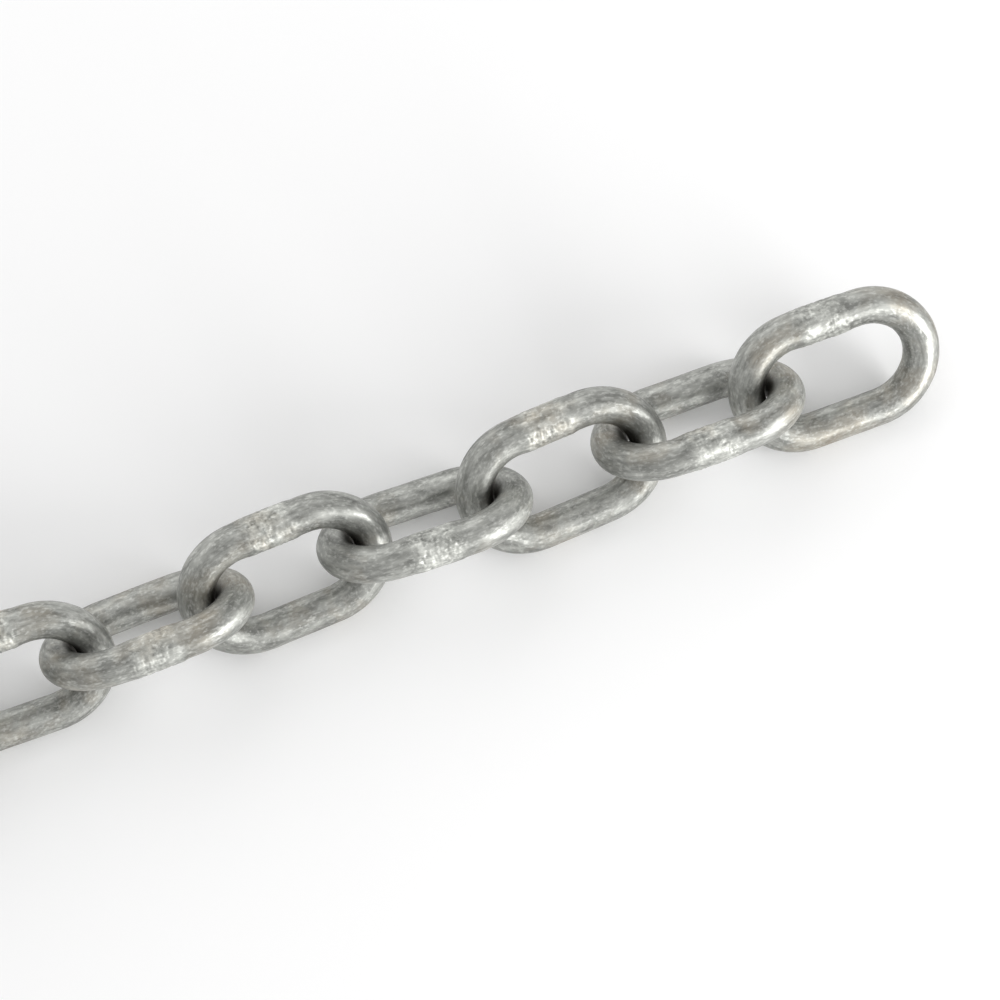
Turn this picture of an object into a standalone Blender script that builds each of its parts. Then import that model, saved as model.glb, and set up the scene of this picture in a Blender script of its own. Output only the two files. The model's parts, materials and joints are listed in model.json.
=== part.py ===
"""One metre of hot dip galvanised, electrically welded steel link chain, laid straight on a flat surface.

The run lies along X and its first link is at the +X end. Each link leans over on one of its long bars, one
to the back and the next to the front, so neighbours cross at about right angles and every lower bar rests
at Z = 0. The weld of each link is in the middle of its raised bar. A link hangs on the end bar of the link
before it, and swings about the middle of that bar.
"""

import math

import bmesh
import bpy
from mathutils import Matrix, Vector

# Driving dimensions, in metres
BAR_DIAMETER = 0.010
INNER_LENGTH = 0.040
INNER_WIDTH = 0.021
LINK_COUNT = 25
END_GAP = 0.0005  # room between the end bars of two links that bear on each other
WELD_LENGTH = 0.012  # of the bar that is upset where its ends were pressed together and welded
WELD_RUN_OUT = 0.0015
WELD_RISE = 0.00025  # that the upset stands proud of the bar

# How the run lies, in degrees
LEAN = 45.0  # of a link's plane to the floor
LEAN_WAVE = 6.5  # the most that a link stands steeper or flatter than that
LEAN_PERIOD = 22  # links in one wave of the lean
SWAY = 2.5  # a link's largest turn to the left or right of the run
SWAY_STEP = 139.0  # how far the sway's wave moves on from one link to the next
SWAY_START = 200.0

# Fineness of the shape
BAR_SIDES = 16
END_BENDS = 8  # equal mitred bends in each half round end, so one flat falls at its very end

# Worked out from the dimensions above
BAR_RADIUS = BAR_DIAMETER / 2
CORNER_RADIUS = BAR_RADIUS * math.sqrt(2 * math.pi / (BAR_SIDES * math.sin(2 * math.pi / BAR_SIDES)))
FLAT_RADIUS = CORNER_RADIUS * math.cos(math.pi / BAR_SIDES)
BEND = math.pi / END_BENDS
BEND_RADIUS = INNER_WIDTH / 2 + FLAT_RADIUS  # of the bar's centre line, round each end
END_REACH = INNER_LENGTH / 2 + FLAT_RADIUS  # from the link's middle to the centre of an end bar
ARC_CENTRE = END_REACH - BEND_RADIUS  # from the link's middle to the centre of its round end
SEAT_OFFSET = 2 * FLAT_RADIUS + END_GAP  # between the centres of two end bars that bear on each other
PITCH = 2 * END_REACH - SEAT_OFFSET

# Zinc coating, as linear colour
ZINC_COLOUR = (0.36, 0.36, 0.345, 1.0)
ZINC_METALLIC = 0.85
ZINC_ROUGHNESS = 0.42


def clear_scene():
    """Remove every object that the file opened with."""
    for item in list(bpy.data.objects):
        bpy.data.objects.remove(item, do_unlink=True)


def zinc_material():
    """Dull grey zinc, as it sets after hot dipping."""
    material = bpy.data.materials.new("galvanised_zinc")
    material.use_nodes = True
    shader = material.node_tree.nodes["Principled BSDF"]
    shader.inputs["Base Color"].default_value = ZINC_COLOUR
    shader.inputs["Metallic"].default_value = ZINC_METALLIC
    shader.inputs["Roughness"].default_value = ZINC_ROUGHNESS
    material.diffuse_color = ZINC_COLOUR
    return material


def bar_ring(centre, outward, stretch, rise):
    """Points of the bar's section, in the plane that holds outward and the normal of the link's plane.

    The stretch widens a mitred section along outward, so that the bar on either side of it stays round.
    """
    ring = []
    for side in range(BAR_SIDES):
        angle = 2 * math.pi * (side + 0.5) / BAR_SIDES
        across = (CORNER_RADIUS + rise) * math.cos(angle) * stretch * outward
        ring.append(centre + across + Vector((0, 0, (CORNER_RADIUS + rise) * math.sin(angle))))
    return ring


def end_rings(end):
    """Mitred sections round one end of the link, of which +1 is the end at +X.

    The stretches between them touch the true half round at their middles, so the inner length and the
    inner width are exact on the flats.
    """
    arc_centre = Vector((end * ARC_CENTRE, 0, 0))
    rings = []
    for step in range(END_BENDS):
        angle = BEND * (step + 0.5) - math.pi / 2
        outward = Vector((end * math.cos(angle), end * math.sin(angle), 0))
        corner = arc_centre + BEND_RADIUS / math.cos(BEND / 2) * outward
        rings.append(bar_ring(corner, outward, 1 / math.cos(BEND / 2), 0))
    return rings


def weld_rings():
    """Sections of the upset at the middle of the bar on the +Y side, from its +X end to its -X end."""
    half = WELD_LENGTH / 2
    steps = ((half, 0), (half - WELD_RUN_OUT, WELD_RISE), (WELD_RUN_OUT - half, WELD_RISE), (-half, 0))
    outward = Vector((0, 1, 0))
    return [bar_ring(Vector((along, BEND_RADIUS, 0)), outward, 1, rise) for along, rise in steps]


def link_mesh():
    """One link as a closed ring of bar, with the pivot it hangs on at the origin and its far end at -X."""
    shape = bmesh.new()
    shift = Vector((SEAT_OFFSET - END_REACH, 0, 0))
    rings = []
    for ring in end_rings(1) + weld_rings() + end_rings(-1):
        rings.append([shape.verts.new(point + shift) for point in ring])
    for index, ring in enumerate(rings):
        following = rings[(index + 1) % len(rings)]
        for side in range(BAR_SIDES):
            beside = (side + 1) % BAR_SIDES
            shape.faces.new((ring[side], following[side], following[beside], ring[beside]))
    bmesh.ops.recalc_face_normals(shape, faces=shape.faces)
    mesh = bpy.data.meshes.new("welded_link")
    shape.to_mesh(mesh)
    shape.free()
    mesh.shade_smooth()
    mesh.set_sharp_from_angle(angle=math.radians(40))
    return mesh


def lie_of(index):
    """Turn of one link as it lies: its lean, with the weld's side up, and a little sway in plan."""
    wave = math.sin(2 * math.pi * (index - 1) / LEAN_PERIOD)
    lean = math.radians(LEAN + LEAN_WAVE * wave)
    if index % 2 == 1:
        lean = math.pi - lean
    sway = math.radians(SWAY) * math.sin(math.radians(SWAY_START + SWAY_STEP * index))
    return Matrix.Rotation(sway, 4, "Z") @ Matrix.Rotation(lean, 4, "X")


def run_of_links(mesh):
    """World matrix of every link, each laid on the floor with its near end round the last one's far end."""
    places = []
    seat = Vector((0, 0, 0))
    for index in range(LINK_COUNT):
        turn = lie_of(index)
        height = -min((turn @ vertex.co).z for vertex in mesh.vertices)
        places.append(Matrix.Translation((seat.x, seat.y, height)) @ turn)
        seat = places[-1] @ Vector((-PITCH, 0, 0))
    return places


def middle_of(places, mesh):
    """Middle of the run in plan, from the box round all its links."""
    points = [place @ vertex.co for place in places for vertex in mesh.vertices]
    across, deep, _ = zip(*points)
    return Vector((min(across) + max(across), min(deep) + max(deep), 0)) / 2


def build_chain():
    """Lay out the links, each parented to an empty on the end bar that it swings about."""
    mesh = link_mesh()
    mesh.materials.append(zinc_material())
    places = run_of_links(mesh)
    centring = Matrix.Translation(-middle_of(places, mesh))
    places = [centring @ place for place in places]
    collection = bpy.context.scene.collection
    previous = None
    for index, place in enumerate(places):
        link = bpy.data.objects.new(f"link_{index + 1:02d}", mesh)
        collection.objects.link(link)
        link.matrix_basis = place
        if previous:
            seat = bpy.data.objects.new(f"seat_{index + 1:02d}", None)
            collection.objects.link(seat)
            seat.parent = previous
            seat.location = (-PITCH, 0, 0)
            seat.empty_display_size = BAR_DIAMETER
            link.parent = seat
            link.matrix_basis = seat.matrix_basis.inverted() @ places[index - 1].inverted() @ place
        previous = link


clear_scene()
build_chain()
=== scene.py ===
"""Looks of a metre of hot dip galvanised, welded steel link chain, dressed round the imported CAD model.

Every link is one closed oval of round bar. It is made by one Geometry Nodes tree, which sweeps the bar along the
oval, raises the zinc coat's unevenness and the trimmed flash of the weld, and turns the link to where the CAD has it.
All sizes are in metres, and MM turns millimetres into them.
"""

import json
import logging
import math
from dataclasses import dataclass
from enum import Enum
from functools import partial

import bpy
import numpy as np
from mathutils import Matrix, Vector

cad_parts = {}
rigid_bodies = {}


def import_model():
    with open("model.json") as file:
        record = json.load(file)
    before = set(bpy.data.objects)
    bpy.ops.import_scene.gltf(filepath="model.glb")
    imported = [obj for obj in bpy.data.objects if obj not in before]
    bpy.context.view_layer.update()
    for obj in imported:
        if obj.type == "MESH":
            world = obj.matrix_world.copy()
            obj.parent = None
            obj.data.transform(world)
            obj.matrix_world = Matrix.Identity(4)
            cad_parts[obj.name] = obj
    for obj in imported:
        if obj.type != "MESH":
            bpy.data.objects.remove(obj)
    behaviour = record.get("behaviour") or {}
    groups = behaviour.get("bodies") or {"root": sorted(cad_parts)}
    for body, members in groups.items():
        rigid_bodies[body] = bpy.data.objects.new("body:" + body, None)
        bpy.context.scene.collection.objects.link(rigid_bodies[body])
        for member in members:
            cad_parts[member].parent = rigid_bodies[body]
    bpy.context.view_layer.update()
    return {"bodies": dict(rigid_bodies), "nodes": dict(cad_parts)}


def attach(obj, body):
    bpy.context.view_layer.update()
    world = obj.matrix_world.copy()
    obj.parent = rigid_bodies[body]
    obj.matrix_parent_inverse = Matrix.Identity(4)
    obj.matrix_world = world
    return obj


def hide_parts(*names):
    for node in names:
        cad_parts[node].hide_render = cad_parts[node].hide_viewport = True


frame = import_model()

log = logging.getLogger("chain")

MM = 0.001
SAME_PLACE = 7  # decimals of a metre that corners in one place have in common
NODES_A_ROW = 12  # in the layout of a tree
NODE_WIDTH = 200
NODE_HEIGHT = 260

Source = bpy.types.Node | bpy.types.NodeSocket  # what a value can come from


def linear(hex_colour: str) -> tuple[float, float, float, float]:
    """Turn an sRGB hex colour into linear light.

    Args:
        hex_colour: six hex digits after a hash sign.

    Returns:
        Red, green, blue and an alpha of one.
    """
    shares = [int(hex_colour[start:start + 2], 16) / 255 for start in (1, 3, 5)]
    red, green, blue = (s / 12.92 if s <= 0.04045 else ((s + 0.055) / 1.055) ** 2.4 for s in shares)
    return red, green, blue, 1.0


def set_inputs(tree: bpy.types.NodeTree, node: bpy.types.Node, inputs: dict[str | int, object]) -> None:
    """Give a node its values and the links into it.

    Args:
        tree: the tree that the node is in.
        node: the node.
        inputs: for each input, by name or number, a value or the node or socket that is linked to it.
    """
    for key, value in inputs.items():
        named = (s for s in node.inputs if s.name == key and s.enabled)
        socket = next(named) if isinstance(key, str) else node.inputs[key]
        if isinstance(value, bpy.types.Node):
            value = next(s for s in value.outputs if s.enabled)
        if isinstance(value, bpy.types.NodeSocket):
            tree.links.new(value, socket)
        else:
            socket.default_value = value


def add_node(tree: bpy.types.NodeTree, kind: str, inputs: dict[str | int, object] | None = None,
             **settings: object) -> bpy.types.Node:
    """Add one node to a tree, with its settings, its values and the links into it.

    Args:
        tree: the tree that the node goes into.
        kind: Blender's name for the kind of node.
        inputs: what set_inputs gives it.
        settings: the node's own properties.

    Returns:
        The new node.
    """
    node = tree.nodes.new(kind)
    row, column = divmod(len(tree.nodes) - 1, NODES_A_ROW)
    node.location = (NODE_WIDTH * column, -NODE_HEIGHT * row)
    for name, value in settings.items():
        setattr(node, name, value)
    set_inputs(tree, node, inputs or {})
    return node


class BarMark(str, Enum):
    """Names of the attributes that carry the bar's own coordinates and marks from the mesh to the material."""

    LENGTHWISE = "lengthwise"  # two coordinates of a circle as long as the bar, and the distance from the weld
    AROUND = "around"  # two coordinates of the bar's section
    WRAP = "wrap"  # UV map: U runs round the bar and V along it
    CROWN = "crown"  # 0 on the straight sides, 1 at the very end of the link
    SEAT = "seat"  # the same, but 0 at an end that no other link sits in
    WELD = "weld"  # share of weld, from 0 to 1
    RELIEF = "relief"  # height over the plain bar, in millimetres


@dataclass(frozen=True)
class Span:
    """A rule by which one measure gives another: from start to end of the first, the second goes from low to high."""

    start: float
    end: float
    low: float = 0.0
    high: float = 1.0

    def of(self, measure: Source) -> dict[str, object]:
        """Inputs by which a Map Range node follows the rule."""
        return {"Value": measure, "From Min": self.start, "From Max": self.end, "To Min": self.low, "To Max": self.high}


@dataclass(frozen=True)
class Skin:
    """The bar's own coordinates, as the nodes of one tree read them from the mesh.

    A place on the skin has four coordinates, so that every pattern closes on itself: two on a circle as long as the
    bar, and two on the bar's section. A texture takes the first three as its vector and the fourth as its W.
    """

    place: Source  # the first three coordinates
    inwards: Source  # the third by itself: from the bar's middle towards the link's
    squarewise: Source  # the fourth: from the bar's middle, square to the link's plane
    from_weld: Source  # distance along the bar, below zero on the weld's left

    @classmethod
    def read(cls, tree: bpy.types.NodeTree, lengthwise: Source, around: Source) -> "Skin":
        """Take the coordinates out of the two attributes that hold them.

        Args:
            tree: the tree.
            lengthwise: the first attribute, in that tree.
            around: the second.

        Returns:
            The coordinates.
        """
        length_parts = add_node(tree, "ShaderNodeSeparateXYZ", {0: lengthwise}).outputs
        round_parts = add_node(tree, "ShaderNodeSeparateXYZ", {0: around}).outputs
        place = add_node(tree, "ShaderNodeCombineXYZ", {
            "X": length_parts["X"], "Y": length_parts["Y"], "Z": round_parts["X"]})
        return cls(place, round_parts["X"], round_parts["Y"], length_parts["Z"])


@dataclass(frozen=True)
class LinkSize:
    """Sizes of one link, as in the CAD model."""

    bar_diameter: float = 10 * MM
    inner_length: float = 40 * MM
    inner_width: float = 21 * MM
    weld_length: float = 12 * MM
    weld_rise: float = 0.25 * MM

    @property
    def bend_radius(self) -> float:
        """Radius of the bar's middle round each end."""
        return (self.inner_width + self.bar_diameter) / 2

    @property
    def half_straight(self) -> float:
        """Half the straight length of each side."""
        return (self.inner_length - self.inner_width) / 2

    @property
    def bar_length(self) -> float:
        """Length of the bar's middle, once round the link."""
        return 4 * self.half_straight + 2 * math.pi * self.bend_radius


@dataclass(frozen=True)
class LinkPlace:
    """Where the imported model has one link."""

    middle: Vector
    turn: Matrix

    @classmethod
    def of_node(cls, name: str, size: LinkSize) -> "LinkPlace":
        """Find a link's middle and directions from its solid.

        Its solid is far longer than wide and wider than thick, so the spread of its corners gives the directions.
        The weld is on the raised side, and stands proud of that side only.

        Args:
            name: the CAD node.
            size: the link's sizes.

        Returns:
            The middle of the oval, and a turn whose columns point along the link, across it to the weld, and square
            to its plane.
        """
        node = frame["nodes"][name]
        corners = [node.matrix_world @ v.co for v in node.data.vertices]
        corners = np.unique(np.round(corners, SAME_PLACE), axis=0)
        _, spread = np.linalg.eigh(np.cov(corners.T))
        along, across = spread[:, 2], spread[:, 1]
        along = along * np.sign(along[0])
        across = across * np.sign(across[2])
        square = np.cross(along, across)
        sides = [((corners @ axis).min(), (corners @ axis).max()) for axis in (along, across, square)]
        centre = [(low + high) / 2 for low, high in sides]
        centre[1] -= size.weld_rise / 2
        middle = centre[0] * along + centre[1] * across + centre[2] * square
        return cls(Vector(middle), Matrix(np.column_stack((along, across, square)).tolist()))


@dataclass(frozen=True)
class LinkTree:
    """The Geometry Nodes tree that makes any link of the chain."""

    size: LinkSize = LinkSize()
    rings: int = 270  # sections of bar round the link
    ring_sides: int = 72
    crowding: float = 0.6  # how much closer the sections stand at the weld than on average
    ripple_size: float = 8 * MM  # gentle unevenness of the bent bar under its coat
    ripple_height: float = 0.06 * MM
    grain_size: float = 1.6 * MM  # lumpy freezing of the coat
    grain_height: float = 0.025 * MM
    soft_detail: float = 1.0  # of the noise: the coat is smooth, so its unevenness is soft
    noise_reach: tuple[float, float] = (0.2, 0.8)  # values that nearly all of such noise lies between
    weld_fade_left: float = 5 * MM  # length in which the upset sinks into the bar
    weld_fade_right: float = 2.5 * MM  # the same where the trimming tool stopped, which is more of a step
    weld_shake: float = 1.5 * MM  # the most that the weld's ends are ragged by
    patch_size: float = 6 * MM  # of the torn and the smooth patches of the weld
    patch_tear: Span = Span(0.38, 0.56, low=0.3)  # a patch's noise gives how torn it is
    pit_length: float = 1.2 * MM  # of the pits that the trimming tool tore, along the bar
    pit_width: float = 1.5 * MM  # of the same pits, round the bar
    pit_stray: float = 2.4  # the most that a pit lies out of its row, in pits
    pit_stray_scale: float = 0.8  # strays in the size of one pit
    pit_stray_detail: float = 2.0
    pit_shape: Span = Span(0.15, 0.85, -0.7, 0.5)  # distance from a pit's middle, in pits, gives flash heights
    flash_height: float = 0.26 * MM
    dross_spacing: float = 7 * MM  # of the grains that the bath leaves in the coat
    dross_size: float = 0.7 * MM
    dross_height: float = 0.12 * MM
    cast_step: float = 0.35  # how far one link's pattern is from the next one's
    wrap_jump: float = 0.25  # of a turn: a corner that lies further behind its face is on the map's other side

    def build(self) -> bpy.types.GeometryNodeTree:
        """Build the tree.

        Returns:
            The tree, with a named input for each size, and for where the link lies.
        """
        tree = bpy.data.node_groups.new("welded_link", "GeometryNodeTree")
        tree.interface.new_socket("Geometry", in_out="OUTPUT", socket_type="NodeSocketGeometry")
        for name, kind in self.inputs().items():
            tree.interface.new_socket(name, in_out="INPUT", socket_type=kind)
        add = partial(add_node, tree)
        given = add("NodeGroupInput").outputs
        skin = Skin.read(tree, *(
            add("GeometryNodeInputNamedAttribute", {"Name": mark.value}, data_type="FLOAT_VECTOR")
            for mark in (BarMark.LENGTHWISE, BarMark.AROUND)))
        bar = self.sweep(tree, given)
        coated = self.coat(tree, given, skin, bar)
        wrapped = self.wrap(tree, given, skin, coated)
        placed = add("GeometryNodeTransform", {
            "Geometry": wrapped, "Translation": given["Middle"], "Rotation": given["Turn"]})
        smooth = add("GeometryNodeSetShadeSmooth", {"Geometry": placed})
        realised = add("GeometryNodeRealizeInstances", {"Geometry": smooth})
        finished = add("GeometryNodeSetMaterial", {"Geometry": realised, "Material": given["Zinc"]})
        add("NodeGroupOutput", {"Geometry": finished})
        return tree

    @staticmethod
    def inputs() -> dict[str, str]:
        """List the tree's inputs.

        Returns:
            The kind of each input by its name.
        """
        measures = ("Bar Radius", "Bend Radius", "Half Straight", "Bar Length", "Weld Half Length", "Weld Rise",
                    "Flash Height", "Cast", "Seat Right", "Seat Left")
        kinds = {name: "NodeSocketFloat" for name in measures}
        kinds |= {"Rings": "NodeSocketInt", "Ring Sides": "NodeSocketInt"}
        return kinds | {"Middle": "NodeSocketVector", "Turn": "NodeSocketVector", "Zinc": "NodeSocketMaterial"}

    def values(self, place: LinkPlace, cast: int, seats: tuple[bool, bool],
               zinc: bpy.types.Material) -> dict[str, object]:
        """Value of each input of the tree for one link.

        Args:
            place: where the link lies.
            cast: number of the link, which gives it a pattern of its own.
            seats: whether another link sits in its right and in its left end.
            zinc: its material.

        Returns:
            The values by the inputs' names.
        """
        size = self.size
        return {
            "Bar Radius": size.bar_diameter / 2, "Bend Radius": size.bend_radius,
            "Half Straight": size.half_straight, "Bar Length": size.bar_length,
            "Weld Half Length": size.weld_length / 2, "Weld Rise": size.weld_rise, "Flash Height": self.flash_height,
            "Rings": self.rings, "Ring Sides": self.ring_sides, "Cast": cast * self.cast_step,
            "Seat Right": float(seats[0]), "Seat Left": float(seats[1]),
            "Middle": tuple(place.middle), "Turn": tuple(place.turn.to_euler()), "Zinc": zinc,
        }

    def pace(self, tree: bpy.types.NodeTree, given: bpy.types.NodeOutputs) -> tuple[Source, Source]:
        """Space the sections round the link, closer at the weld than elsewhere.

        Args:
            tree: the tree.
            given: its inputs.

        Returns:
            Each section's distance from the weld along the bar, as a share of the bar's length and in metres. It
            goes from minus a half to a half of the bar, with the weld in the middle.
        """
        add = partial(add_node, tree)
        index = add("GeometryNodeInputIndex")
        even = add("ShaderNodeMapRange", {"Value": index, "From Max": given["Rings"], "To Min": -0.5, "To Max": 0.5})
        turn = add("ShaderNodeMath", {0: even, 1: math.tau}, operation="MULTIPLY")
        wave = add("ShaderNodeMath", {0: turn}, operation="SINE")
        share = add("ShaderNodeMath", {0: wave, 1: -self.crowding / math.tau, 2: even}, operation="MULTIPLY_ADD")
        return share, add("ShaderNodeMath", {0: share, 1: given["Bar Length"]}, operation="MULTIPLY")

    def bend(self, tree: bpy.types.NodeTree, given: bpy.types.NodeOutputs, along: Source) -> tuple[Source, Source]:
        """Bend the bar's middle to the oval: along the weld's side, round the end, and back along the other side.

        Args:
            tree: the tree.
            given: its inputs.
            along: distance from the weld.

        Returns:
            The place on the oval, and how near it is to the link's very end, from 0 to 1.
        """
        add = partial(add_node, tree)
        away = add("ShaderNodeMath", {0: along}, operation="ABSOLUTE")
        past_side = add("ShaderNodeMath", {0: away, 1: given["Half Straight"]}, operation="SUBTRACT")
        half_round = add("ShaderNodeMath", {0: given["Bend Radius"], 1: math.pi}, operation="MULTIPLY")
        angle = add("ShaderNodeMapRange", {"Value": past_side, "From Max": half_round, "To Max": math.pi})
        on_side = add("ShaderNodeMath", {0: away, 1: given["Half Straight"]}, operation="MINIMUM")
        past_end = add("ShaderNodeMath", {0: past_side, 1: half_round}, operation="SUBTRACT")
        on_other = add("ShaderNodeMath", {0: past_end, 1: 0.0}, operation="MAXIMUM")
        straight = add("ShaderNodeMath", {0: on_side, 1: on_other}, operation="SUBTRACT")
        sine = add("ShaderNodeMath", {0: angle}, operation="SINE")
        cosine = add("ShaderNodeMath", {0: angle}, operation="COSINE")
        reach = add("ShaderNodeMath", {0: sine, 1: given["Bend Radius"], 2: straight}, operation="MULTIPLY_ADD")
        side = add("ShaderNodeMath", {0: along}, operation="SIGN")
        x = add("ShaderNodeMath", {0: reach, 1: side}, operation="MULTIPLY")
        y = add("ShaderNodeMath", {0: cosine, 1: given["Bend Radius"]}, operation="MULTIPLY")
        return add("ShaderNodeCombineXYZ", {"X": x, "Y": y}), sine

    def sweep(self, tree: bpy.types.NodeTree, given: bpy.types.NodeOutputs) -> bpy.types.Node:
        """Sweep the round bar along the link's oval, and mark each point of it with its coordinates on the bar.

        Args:
            tree: the tree.
            given: its inputs.

        Returns:
            The node with the closed bar.
        """
        add = partial(add_node, tree)
        share, along = self.pace(tree, given)
        oval, crown = self.bend(tree, given, along)

        # a circle as long as the bar: patterns on it close on themselves round the link
        turn = add("ShaderNodeMath", {0: share, 1: math.tau}, operation="MULTIPLY")
        sine = add("ShaderNodeMath", {0: turn}, operation="SINE")
        cosine = add("ShaderNodeMath", {0: turn}, operation="COSINE")
        radius = add("ShaderNodeMath", {0: given["Bar Length"], 1: math.tau}, operation="DIVIDE")
        circle_x = add("ShaderNodeMath", {0: cosine, 1: radius, 2: given["Cast"]}, operation="MULTIPLY_ADD")
        circle_y = add("ShaderNodeMath", {0: sine, 1: radius}, operation="MULTIPLY")
        lengthwise = add("ShaderNodeCombineXYZ", {"X": circle_x, "Y": circle_y, "Z": along})

        on_right = add("ShaderNodeMath", {0: along, 1: 0.0}, operation="GREATER_THAN")
        has_seat = add("ShaderNodeMapRange", {
            "Value": on_right, "To Min": given["Seat Left"], "To Max": given["Seat Right"]})
        seat = add("ShaderNodeMath", {0: crown, 1: has_seat}, operation="MULTIPLY")

        ring = add("GeometryNodeCurvePrimitiveCircle", {"Resolution": given["Rings"]})
        bent = add("GeometryNodeSetPosition", {"Geometry": ring, "Position": oval})
        path = add("GeometryNodeSetCurveNormal", {"Curve": bent}, mode="Z_UP")
        marks = ((BarMark.CROWN, crown, "FLOAT"), (BarMark.SEAT, seat, "FLOAT"),
                 (BarMark.LENGTHWISE, lengthwise, "FLOAT_VECTOR"))
        for mark, value, kind in marks:
            path = add("GeometryNodeStoreNamedAttribute", {
                "Geometry": path, "Name": mark.value, "Value": value}, data_type=kind)
        section = add("GeometryNodeCurvePrimitiveCircle", {
            "Resolution": given["Ring Sides"], "Radius": given["Bar Radius"]})
        on_section = add("GeometryNodeInputPosition")
        profile = add("GeometryNodeStoreNamedAttribute", {
            "Geometry": section, "Name": BarMark.AROUND.value, "Value": on_section}, data_type="FLOAT_VECTOR")
        return add("GeometryNodeCurveToMesh", {"Curve": path, "Profile Curve": profile})

    def unevenness(self, tree: bpy.types.NodeTree, skin: Skin) -> tuple[Source, Source]:
        """Make the ripple and the grain of the coat, and the few grains of dross that are frozen into it.

        Args:
            tree: the tree.
            skin: the bar's coordinates.

        Returns:
            Their height over the plain bar, and the noise of the grain.
        """
        add = partial(add_node, tree)
        ripple, grain = (
            add("ShaderNodeTexNoise", {
                "Vector": skin.place, "W": skin.squarewise, "Scale": 1 / size, "Detail": self.soft_detail},
                noise_dimensions="4D")
            for size in (self.ripple_size, self.grain_size))
        ripple_part, grain_part = (
            add("ShaderNodeMapRange", Span(*self.noise_reach, -height, height).of(noise), clamp=False)
            for noise, height in ((ripple, self.ripple_height), (grain, self.grain_height)))
        nearest = add("ShaderNodeTexVoronoi", {
            "Vector": skin.place, "W": skin.squarewise, "Scale": 1 / self.dross_spacing},
            voronoi_dimensions="4D", feature="F1").outputs["Distance"]
        swell = Span(self.dross_size / self.dross_spacing, 0.0, high=self.dross_height)
        dross = add("ShaderNodeMapRange", swell.of(nearest), interpolation_type="SMOOTHSTEP")
        coat_part = add("ShaderNodeMath", {0: ripple_part, 1: grain_part}, operation="ADD")
        return add("ShaderNodeMath", {0: coat_part, 1: dross}, operation="ADD"), grain

    def weld_share(self, tree: bpy.types.NodeTree, given: bpy.types.NodeOutputs, skin: Skin,
                   grain: Source) -> bpy.types.Node:
        """Mark off the weld. It ends in a ragged line, so the distance from it is shaken before it is cut off.

        Args:
            tree: the tree.
            given: its inputs.
            skin: the bar's coordinates.
            grain: the noise that shakes it.

        Returns:
            The node with the share of weld, from 0 to 1.
        """
        add = partial(add_node, tree)
        away = add("ShaderNodeMath", {0: skin.from_weld}, operation="ABSOLUTE")
        shaken = add("ShaderNodeMath", {0: grain, 1: self.weld_shake, 2: away}, operation="MULTIPLY_ADD")
        on_right = add("ShaderNodeMath", {0: skin.from_weld, 1: 0.0}, operation="GREATER_THAN")
        fade = add("ShaderNodeMapRange", {
            "Value": on_right, "To Min": self.weld_fade_left, "To Max": self.weld_fade_right})
        weld_end = add("ShaderNodeMath", {0: given["Weld Half Length"], 1: fade}, operation="ADD")
        return add("ShaderNodeMapRange", {
            "Value": shaken, "From Min": weld_end, "From Max": given["Weld Half Length"]},
            interpolation_type="SMOOTHSTEP")

    def torn_flash(self, tree: bpy.types.NodeTree, given: bpy.types.NodeOutputs, skin: Skin) -> bpy.types.Node:
        """Tear the hot flash as the trimming tool did: into pits, in patches, with ridges between them.

        Args:
            tree: the tree.
            given: its inputs.
            skin: the bar's coordinates.

        Returns:
            The node with the height of the torn upset over the plain bar.
        """
        add = partial(add_node, tree)
        place = add("ShaderNodeCombineXYZ", {"X": skin.from_weld, "Y": skin.inwards, "Z": skin.squarewise})
        patch = add("ShaderNodeTexNoise", {
            "Vector": place, "W": given["Cast"], "Scale": 1 / self.patch_size, "Detail": self.soft_detail},
            noise_dimensions="4D")
        torn = add("ShaderNodeMapRange", self.patch_tear.of(patch), interpolation_type="SMOOTHSTEP")
        pits_a_metre = (1 / self.pit_length, 1 / self.pit_width, 1 / self.pit_width)
        in_pits = add("ShaderNodeVectorMath", {0: place, 1: pits_a_metre}, operation="MULTIPLY")
        stray = add("ShaderNodeTexNoise", {
            "Vector": in_pits, "Scale": self.pit_stray_scale, "Detail": self.pit_stray_detail}).outputs["Color"]
        strayed = add("ShaderNodeVectorMath", {
            0: stray, 1: (self.pit_stray,) * 3, 2: in_pits}, operation="MULTIPLY_ADD")
        pits = add("ShaderNodeTexVoronoi", {"Vector": strayed, "W": given["Cast"], "Scale": 1.0},
                   voronoi_dimensions="4D", feature="F1").outputs["Distance"]
        ridges = add("ShaderNodeMapRange", self.pit_shape.of(pits))
        flash = add("ShaderNodeMath", {0: ridges, 1: torn}, operation="MULTIPLY")
        return add("ShaderNodeMath", {
            0: flash, 1: given["Flash Height"], 2: given["Weld Rise"]}, operation="MULTIPLY_ADD")

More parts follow.
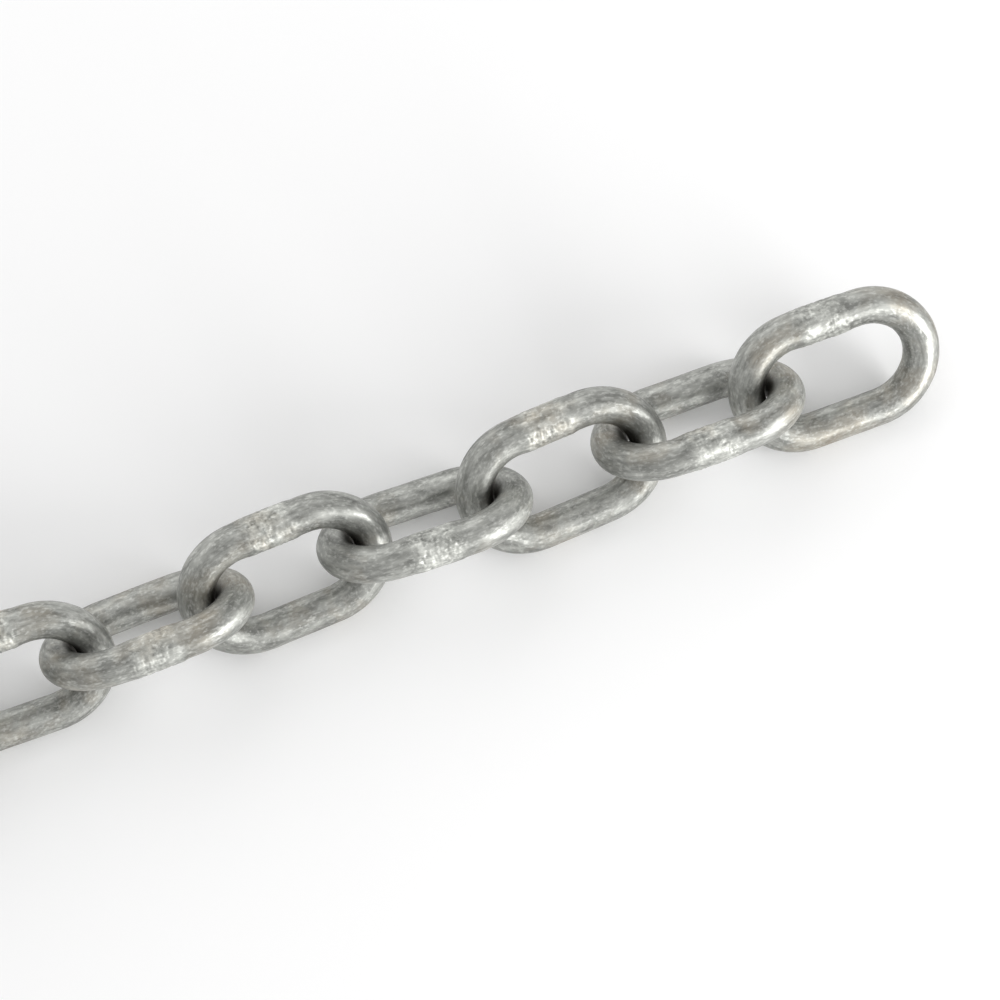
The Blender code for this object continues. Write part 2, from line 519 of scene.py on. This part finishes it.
    def coat(self, tree: bpy.types.NodeTree, given: bpy.types.NodeOutputs, skin: Skin,
             bar: bpy.types.Node) -> bpy.types.Node:
        """Raise the weld, its trimmed flash and the zinc coat's unevenness from the plain bar.

        Args:
            tree: the tree.
            given: its inputs.
            skin: the bar's coordinates.
            bar: the node with the plain bar.

        Returns:
            The node with the coated bar.
        """
        add = partial(add_node, tree)
        uneven, grain = self.unevenness(tree, skin)
        weld = self.weld_share(tree, given, skin, grain)
        upset = self.torn_flash(tree, given, skin)
        weld_part = add("ShaderNodeMath", {0: upset, 1: weld}, operation="MULTIPLY")
        relief = add("ShaderNodeMath", {0: uneven, 1: weld_part}, operation="ADD")
        outwards = add("GeometryNodeInputNormal")
        raised = add("ShaderNodeVectorMath", {0: outwards, "Scale": relief}, operation="SCALE")
        coated = add("GeometryNodeSetPosition", {"Geometry": bar, "Offset": raised})
        in_mm = add("ShaderNodeMath", {0: relief, 1: 1 / MM}, operation="MULTIPLY")
        for mark, value in ((BarMark.RELIEF, in_mm), (BarMark.WELD, weld)):
            coated = add("GeometryNodeStoreNamedAttribute", {
                "Geometry": coated, "Name": mark.value, "Value": value}, data_type="FLOAT")
        return coated

    def wrap(self, tree: bpy.types.NodeTree, given: bpy.types.NodeOutputs, skin: Skin,
             coated: bpy.types.Node) -> bpy.types.Node:
        """Lay a UV map on the bar, round it and along it.

        Each coordinate of the map jumps back by one somewhere, and the faces over the jump are carried past it.

        Args:
            tree: the tree.
            given: its inputs.
            skin: the bar's coordinates.
            coated: the node with the coated bar.

        Returns:
            The node with the map on it.
        """
        add = partial(add_node, tree)
        angle = add("ShaderNodeMath", {0: skin.squarewise, 1: skin.inwards}, operation="ARCTAN2")
        round_share = add("ShaderNodeMath", {0: angle, 1: math.tau}, operation="DIVIDE")
        along_share = add("ShaderNodeMath", {0: skin.from_weld, 1: given["Bar Length"]}, operation="DIVIDE")
        corner = add("ShaderNodeCombineXYZ", {"X": round_share, "Y": along_share})
        face = add("GeometryNodeFieldOnDomain", {0: corner}, data_type="FLOAT_VECTOR", domain="FACE")
        behind = add("ShaderNodeVectorMath", {0: face, 1: corner}, operation="SUBTRACT")
        over_jump = add("ShaderNodeVectorMath", {0: behind, 1: (self.wrap_jump,) * 3}, operation="SUBTRACT")
        carried = add("ShaderNodeVectorMath", {0: over_jump}, operation="CEIL")
        unbroken = add("ShaderNodeVectorMath", {0: corner, 1: carried}, operation="ADD")
        return add("GeometryNodeStoreNamedAttribute", {
            "Geometry": coated, "Name": BarMark.WRAP.value, "Value": unbroken}, data_type="FLOAT2", domain="CORNER")


@dataclass(frozen=True)
class Pattern:
    """A cloudy pattern on the bar's skin, by its real size."""

    length: float  # of its features, along the bar
    width: float  # of the same, round it
    detail: float = 2.0
    roughness: float = 0.5

    def draw(self, tree: bpy.types.NodeTree, skin: Skin) -> bpy.types.Node:
        """Draw the pattern in a material.

        Args:
            tree: the material's nodes.
            skin: the bar's coordinates in them.

        Returns:
            The node with its strength, from 0 to 1.
        """
        per_length, per_width = 1 / self.length, 1 / self.width
        place = add_node(tree, "ShaderNodeVectorMath", {
            0: skin.place, 1: (per_length, per_length, per_width)}, operation="MULTIPLY")
        fourth = add_node(tree, "ShaderNodeMath", {0: skin.squarewise, 1: per_width}, operation="MULTIPLY")
        return add_node(tree, "ShaderNodeTexNoise", {
            "Vector": place, "W": fourth, "Scale": 1.0, "Detail": self.detail, "Roughness": self.roughness},
            noise_dimensions="4D")


@dataclass(frozen=True)
class GalvanisedZinc:
    """Hot dip galvanised zinc on a drawn steel bar.

    The coat froze on the steel as it came from the bath: a grey metal under a thin, pale, matt patina, satin where it
    ran smooth on the bends and dull where it froze in fine crystals. It has faint streaks along the bar from the
    drawing, a warm tinge where the iron shows through, torn flash at the weld with painted highlights on its peaks and
    painted shade in its pits, and dark dirt in the seats, where the links rub in each other, mixed with painted shade
    for the shadow between the links.
    """

    dull: str = "#767773"
    grey: str = "#B5B6B1"
    warm: str = "#AEA28E"
    bright: str = "#D8D9D4"
    # dark dirt in the seats, which also stands in for the shadow between the links: painted shade
    dirt_and_shade_colour: str = "#35312A"
    patina: float = 0.25  # share of the matt film that zinc grows in air
    anisotropy: float = 0.42  # small ripples across the bar spread the light along it
    along_bar: float = 0.25  # turn, in whole turns, that lays the rougher direction along the bar

    # The streaks of a real drawn bar and the crystals of its coat are about a tenth of a millimetre wide. They are
    # drawn coarser than that, because they would be too fine to show.
    clouds: Pattern = Pattern(7 * MM, 2.5 * MM, detail=5.0, roughness=0.65)
    tinge: Pattern = Pattern(14 * MM, 14 * MM, detail=3.0, roughness=0.6)
    streaks: Pattern = Pattern(4 * MM, 0.9 * MM)
    crystals: Pattern = Pattern(1.1 * MM, 0.7 * MM)

    grey_share: Span = Span(0.32, 0.68)  # what the clouds give
    warm_share: Span = Span(0.5, 0.75, high=0.5)  # what the tinge gives
    bright_share: Span = Span(0.5, 0.8, high=0.7)  # what the crystals give
    streak_shade: Span = Span(0.3, 0.7, 0.8, 1.16)  # brightness that the streaks give
    flash_painted_light: Span = Span(0.05, 0.36, 0.7, 1.65)  # painted light: the weld's height in millimetres gives its brightness, painted highlights on the raised flash and painted shade in its pits
    inner_side: Span = Span(1.4 * MM, 4 * MM)  # of the section, where the seat's dirt and painted shade are
    dirt_and_shade_share: Span = Span(0.45, 0.9, high=0.88)  # share of dirt and painted shade, by how near the link's very end is

    bend_roughness: Span = Span(0.0, 1.0, 0.47, 0.44)  # from the straight sides to the very end
    cloud_roughness: Span = Span(0.3, 0.7, 0.06, -0.05)  # what the clouds add to it
    weld_roughness: float = 0.08  # what the weld adds to it
    bump_height: float = 0.05 * MM
    bend_bump: Span = Span(0.0, 1.0, 1.0, 0.35)  # strength of the bump, from the straight sides to the very end

    def build(self) -> bpy.types.Material:
        """Build the material.

        Returns:
            The material, which reads the bar's own coordinates and marks from the mesh.
        """
        material = bpy.data.materials.new("hot_dip_galvanised_zinc")
        material.use_nodes = True
        tree = material.node_tree
        read = {mark: add_node(tree, "ShaderNodeAttribute", attribute_name=mark.value) for mark in BarMark
                if mark != BarMark.WRAP}
        skin = Skin.read(tree, read[BarMark.LENGTHWISE].outputs["Vector"], read[BarMark.AROUND].outputs["Vector"])
        marks = {mark: node.outputs["Fac"] for mark, node in read.items()}
        clouds, streaks, crystals = (
            pattern.draw(tree, skin) for pattern in (self.clouds, self.streaks, self.crystals))
        metal = self.metal_colour(tree, skin, clouds, crystals)
        set_inputs(tree, tree.nodes["Principled BSDF"], {
            # the base colour carries painted shade in the seats, and painted highlights and shade on the weld
            "Base Color": self.dirty_and_shaded_colour(tree, skin, marks, self.shaded_colour(tree, marks, metal, streaks)),
            "Metallic": 1.0 - self.patina,
            "Roughness": self.roughness(tree, marks, clouds),
            "Anisotropic": self.anisotropy,
            "Anisotropic Rotation": self.along_bar,
            "Tangent": add_node(tree, "ShaderNodeTangent", direction_type="UV_MAP", uv_map=BarMark.WRAP.value),
            "Normal": self.bump(tree, marks, streaks, crystals),
        })
        return material

    def metal_colour(self, tree: bpy.types.NodeTree, skin: Skin, clouds: Source, crystals: Source) -> bpy.types.Node:
        """Mix the coat's greys, its warm tinge and its bright crystals.

        Args:
            tree: the material's nodes.
            skin: the bar's coordinates.
            clouds: pattern of the dull and the grey coat.
            crystals: pattern of the bright ones.

        Returns:
            The node with the clean coat's colour.
        """
        colour = linear(self.dull)
        layers = ((clouds, self.grey_share, self.grey), (self.tinge.draw(tree, skin), self.warm_share, self.warm),
                  (crystals, self.bright_share, self.bright))
        for pattern, share, layer in layers:
            factor = add_node(tree, "ShaderNodeMapRange", share.of(pattern))
            colour = add_node(tree, "ShaderNodeMix", {
                "Factor": factor, "A": colour, "B": linear(layer)}, data_type="RGBA")
        return colour

    def shaded_colour(self, tree: bpy.types.NodeTree, marks: dict[BarMark, Source], metal: Source,
                      streaks: Source) -> bpy.types.Node:
        """Shade the coat by its streaks, and paint highlights on the weld's raised flash and shade in its pits.

        Args:
            tree: the material's nodes.
            marks: the bar's marks.
            metal: the clean coat's colour.
            streaks: pattern of the streaks.

        Returns:
            The node with the shaded colour.
        """
        # painted highlights on the flash's peaks and painted shade in its pits, by their height
        flash_highlight_and_shade = add_node(tree, "ShaderNodeMapRange", self.flash_painted_light.of(marks[BarMark.RELIEF]))
        welded = add_node(tree, "ShaderNodeMix", {
            "Factor": marks[BarMark.WELD], "A": 1.0, "B": flash_highlight_and_shade}, data_type="FLOAT")
        streaked = add_node(tree, "ShaderNodeMapRange", self.streak_shade.of(streaks))
        shade = add_node(tree, "ShaderNodeMath", {0: streaked, 1: welded}, operation="MULTIPLY")
        return add_node(tree, "ShaderNodeVectorMath", {0: metal, "Scale": shade}, operation="SCALE")

    def dirty_and_shaded_colour(self, tree: bpy.types.NodeTree, skin: Skin, marks: dict[BarMark, Source],
                     clean: Source) -> bpy.types.Node:
        """Put dark dirt and painted shade in the seats, on the inner side of the bar at the link's ends.

        Args:
            tree: the material's nodes.
            skin: the bar's coordinates.
            marks: the bar's marks.
            clean: the colour under the dirt and painted shade.

        Returns:
            The node with the coat's whole colour.
        """
        inside = add_node(tree, "ShaderNodeMapRange", self.inner_side.of(skin.inwards), interpolation_type="SMOOTHSTEP")
        at_end = add_node(tree, "ShaderNodeMapRange", self.dirt_and_shade_share.of(marks[BarMark.SEAT]))
        # painted shade: darkens the seats where the links shade each other, together with their dirt
        dirt_and_shade = add_node(tree, "ShaderNodeMath", {0: inside, 1: at_end}, operation="MULTIPLY")
        return add_node(tree, "ShaderNodeMix", {
            "Factor": dirt_and_shade, "A": clean, "B": linear(self.dirt_and_shade_colour)}, data_type="RGBA")

    def roughness(self, tree: bpy.types.NodeTree, marks: dict[BarMark, Source], clouds: Source) -> bpy.types.Node:
        """Make the coat rougher in its dull clouds and at the weld, and a little smoother on the bends.

        Args:
            tree: the material's nodes.
            marks: the bar's marks.
            clouds: pattern of the dull and the grey coat.

        Returns:
            The node with the roughness.
        """
        on_bend = add_node(tree, "ShaderNodeMapRange", self.bend_roughness.of(marks[BarMark.CROWN]))
        cloudy = add_node(tree, "ShaderNodeMapRange", self.cloud_roughness.of(clouds))
        welded = add_node(tree, "ShaderNodeMath", {
            0: marks[BarMark.WELD], 1: self.weld_roughness, 2: cloudy}, operation="MULTIPLY_ADD")
        return add_node(tree, "ShaderNodeMath", {0: on_bend, 1: welded}, operation="ADD")

    def bump(self, tree: bpy.types.NodeTree, marks: dict[BarMark, Source], streaks: Source,
             crystals: Source) -> bpy.types.Node:
        """Raise the streaks and the crystals, less on the bends.

        Args:
            tree: the material's nodes.
            marks: the bar's marks.
            streaks: pattern of the streaks.
            crystals: pattern of the crystals.

        Returns:
            The node with the bumped normal.
        """
        fine = add_node(tree, "ShaderNodeMath", {0: crystals, 1: streaks}, operation="ADD")
        strength = add_node(tree, "ShaderNodeMapRange", self.bend_bump.of(marks[BarMark.CROWN]))
        return add_node(tree, "ShaderNodeBump", {
            "Height": fine, "Strength": strength, "Distance": self.bump_height})


@dataclass(frozen=True)
class ChainRun:
    """The run of links."""

    tree: LinkTree = LinkTree()
    zinc: GalvanisedZinc = GalvanisedZinc()

    def build(self) -> list[bpy.types.Object]:
        """Make every link, in place of its CAD solid.

        Returns:
            The links.
        """
        tree = self.tree.build()
        material = self.zinc.build()
        links = []
        bodies = sorted(frame["bodies"])
        for cast, body in enumerate(bodies):
            place = LinkPlace.of_node(body, self.tree.size)
            seats = (body != bodies[0], body != bodies[-1])
            link = self.make_link(f"welded_{body}", tree, self.tree.values(place, cast, seats, material))
            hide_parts(body)
            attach(link, body)
            log.info("%s: %d faces, middle at %s mm", link.name, len(link.data.polygons),
                     tuple(round(v / MM, 1) for v in place.middle))
            links.append(link)
        return links

    @staticmethod
    def make_link(name: str, tree: bpy.types.GeometryNodeTree, values: dict[str, object]) -> bpy.types.Object:
        """Make one link as a plain mesh.

        Args:
            name: the piece's name.
            tree: the tree that makes it.
            values: the tree's inputs.

        Returns:
            The link, at the origin, with its place in its mesh.
        """
        link = bpy.data.objects.new(name, bpy.data.meshes.new(name))
        bpy.context.scene.collection.objects.link(link)
        modifier = link.modifiers.new("welded_link", "NODES")
        modifier.node_group = tree
        sockets = {s.name: s.identifier for s in tree.interface.items_tree if s.in_out == "INPUT"}
        for socket, value in values.items():
            modifier[sockets[socket]] = value
        bpy.context.view_layer.update()
        made = link.evaluated_get(bpy.context.evaluated_depsgraph_get())
        mesh = bpy.data.meshes.new_from_object(made)
        link.modifiers.clear()
        link.data = mesh
        mesh.name = name
        return link


@dataclass(frozen=True)
class Softbox:
    """A plain softbox that faces the aim, with its tall side towards the picture's top."""

    name: str
    off_view: float  # degrees between its direction and the camera's
    round_view: float  # degrees round the picture, from its right towards its top
    away: float  # from the aim
    wide: float
    tall: float
    watts: float


@dataclass(frozen=True)
class Studio:
    """Pale floor, soft light and the photograph's viewing angle."""

    aim: tuple[float, float, float] = (376.58 * MM, -1.27 * MM, 15 * MM)  # the middle of the picture
    distance: float = 1.111  # of the camera, from the aim
    elevation: float = math.radians(74.43)
    azimuth: float = math.radians(-21.47)
    pixels_per_metre: float = 3733.0  # at the aim, in a picture 1000 pixels wide
    picture_width: float = 1000.0
    sensor: float = 36.0
    clip_start: float = 0.05
    floor_reach: float = 6.0  # from the middle to each side
    board: str = "#FAFAFA"
    board_roughness: float = 0.6
    surround: float = 0.7
    softboxes: tuple[Softbox, ...] = (
        Softbox("key", off_view=70, round_view=-19, away=1.25, wide=0.3, tall=1.05, watts=16),
        Softbox("fill", off_view=68, round_view=115, away=1.6, wide=1.4, tall=2.4, watts=9),
    )

    def build(self) -> None:
        """Set up the camera, the floor, the world and the lights."""
        self.add_camera()
        self.add_floor()
        self.add_world()
        for softbox in self.softboxes:
            self.add_softbox(softbox)

    def directions(self) -> tuple[Vector, Vector, Vector]:
        """Work out the camera's directions.

        Returns:
            Directions to the picture's right, to its top and back to the camera.
        """
        flat = math.cos(self.elevation)
        back = Vector((math.sin(self.azimuth) * flat, -math.cos(self.azimuth) * flat, math.sin(self.elevation)))
        right = Vector((math.cos(self.azimuth), math.sin(self.azimuth), 0))
        return right, back.cross(right), back

    def add_camera(self) -> None:
        """Add the camera that the photograph was taken with."""
        right, up, back = self.directions()
        data = bpy.data.cameras.new("photo_camera")
        data.sensor_width = self.sensor
        data.lens = self.sensor * self.pixels_per_metre * self.distance / self.picture_width
        data.clip_start = self.clip_start
        camera = bpy.data.objects.new("photo_camera", data)
        turn = Matrix((right, up, back)).transposed().to_4x4()
        camera.matrix_world = Matrix.Translation(Vector(self.aim) + self.distance * back) @ turn
        bpy.context.scene.collection.objects.link(camera)
        bpy.context.scene.camera = camera
        bpy.context.scene.view_settings.view_transform = "Standard"

    def add_floor(self) -> None:
        """Add a large floor of matt white board."""
        mesh = bpy.data.meshes.new("floor")
        corners = [(x * self.floor_reach, y * self.floor_reach, 0) for x, y in ((-1, -1), (1, -1), (1, 1), (-1, 1))]
        mesh.from_pydata(corners, [], [(0, 1, 2, 3)])
        material = bpy.data.materials.new("matt_white_board")
        material.use_nodes = True
        set_inputs(material.node_tree, material.node_tree.nodes["Principled BSDF"], {
            "Base Color": linear(self.board), "Roughness": self.board_roughness})
        mesh.materials.append(material)
        floor = bpy.data.objects.new("floor", mesh)
        bpy.context.scene.collection.objects.link(floor)

    def add_world(self) -> None:
        """Add an even pale surround."""
        world = bpy.data.worlds.new("studio")
        world.use_nodes = True
        set_inputs(world.node_tree, world.node_tree.nodes["Background"], {
            "Color": (1, 1, 1, 1), "Strength": self.surround})
        bpy.context.scene.world = world

    def add_softbox(self, softbox: Softbox) -> None:
        """Add one softbox.

        Args:
            softbox: its place, size and power.
        """
        right, up, back = self.directions()
        off, round_view = math.radians(softbox.off_view), math.radians(softbox.round_view)
        toward = math.cos(off) * back + math.sin(off) * (math.cos(round_view) * right + math.sin(round_view) * up)
        wide_way = up.cross(toward).normalized()
        tall_way = toward.cross(wide_way)
        data = bpy.data.lights.new(softbox.name, "AREA")
        data.shape = "RECTANGLE"
        data.size, data.size_y = softbox.wide, softbox.tall
        data.energy = softbox.watts
        light = bpy.data.objects.new(softbox.name, data)
        turn = Matrix((wide_way, tall_way, toward)).transposed().to_4x4()
        light.matrix_world = Matrix.Translation(Vector(self.aim) + softbox.away * toward) @ turn
        bpy.context.scene.collection.objects.link(light)


def main() -> None:
    """Build the chain and the studio."""
    logging.basicConfig(level=logging.INFO, format="%(name)s: %(message)s")
    Studio().build()
    links = ChainRun().build()
    log.info("%d links, %d triangles", len(links), sum(2 * len(link.data.polygons) for link in links))


if __name__ == "__main__":
    main()
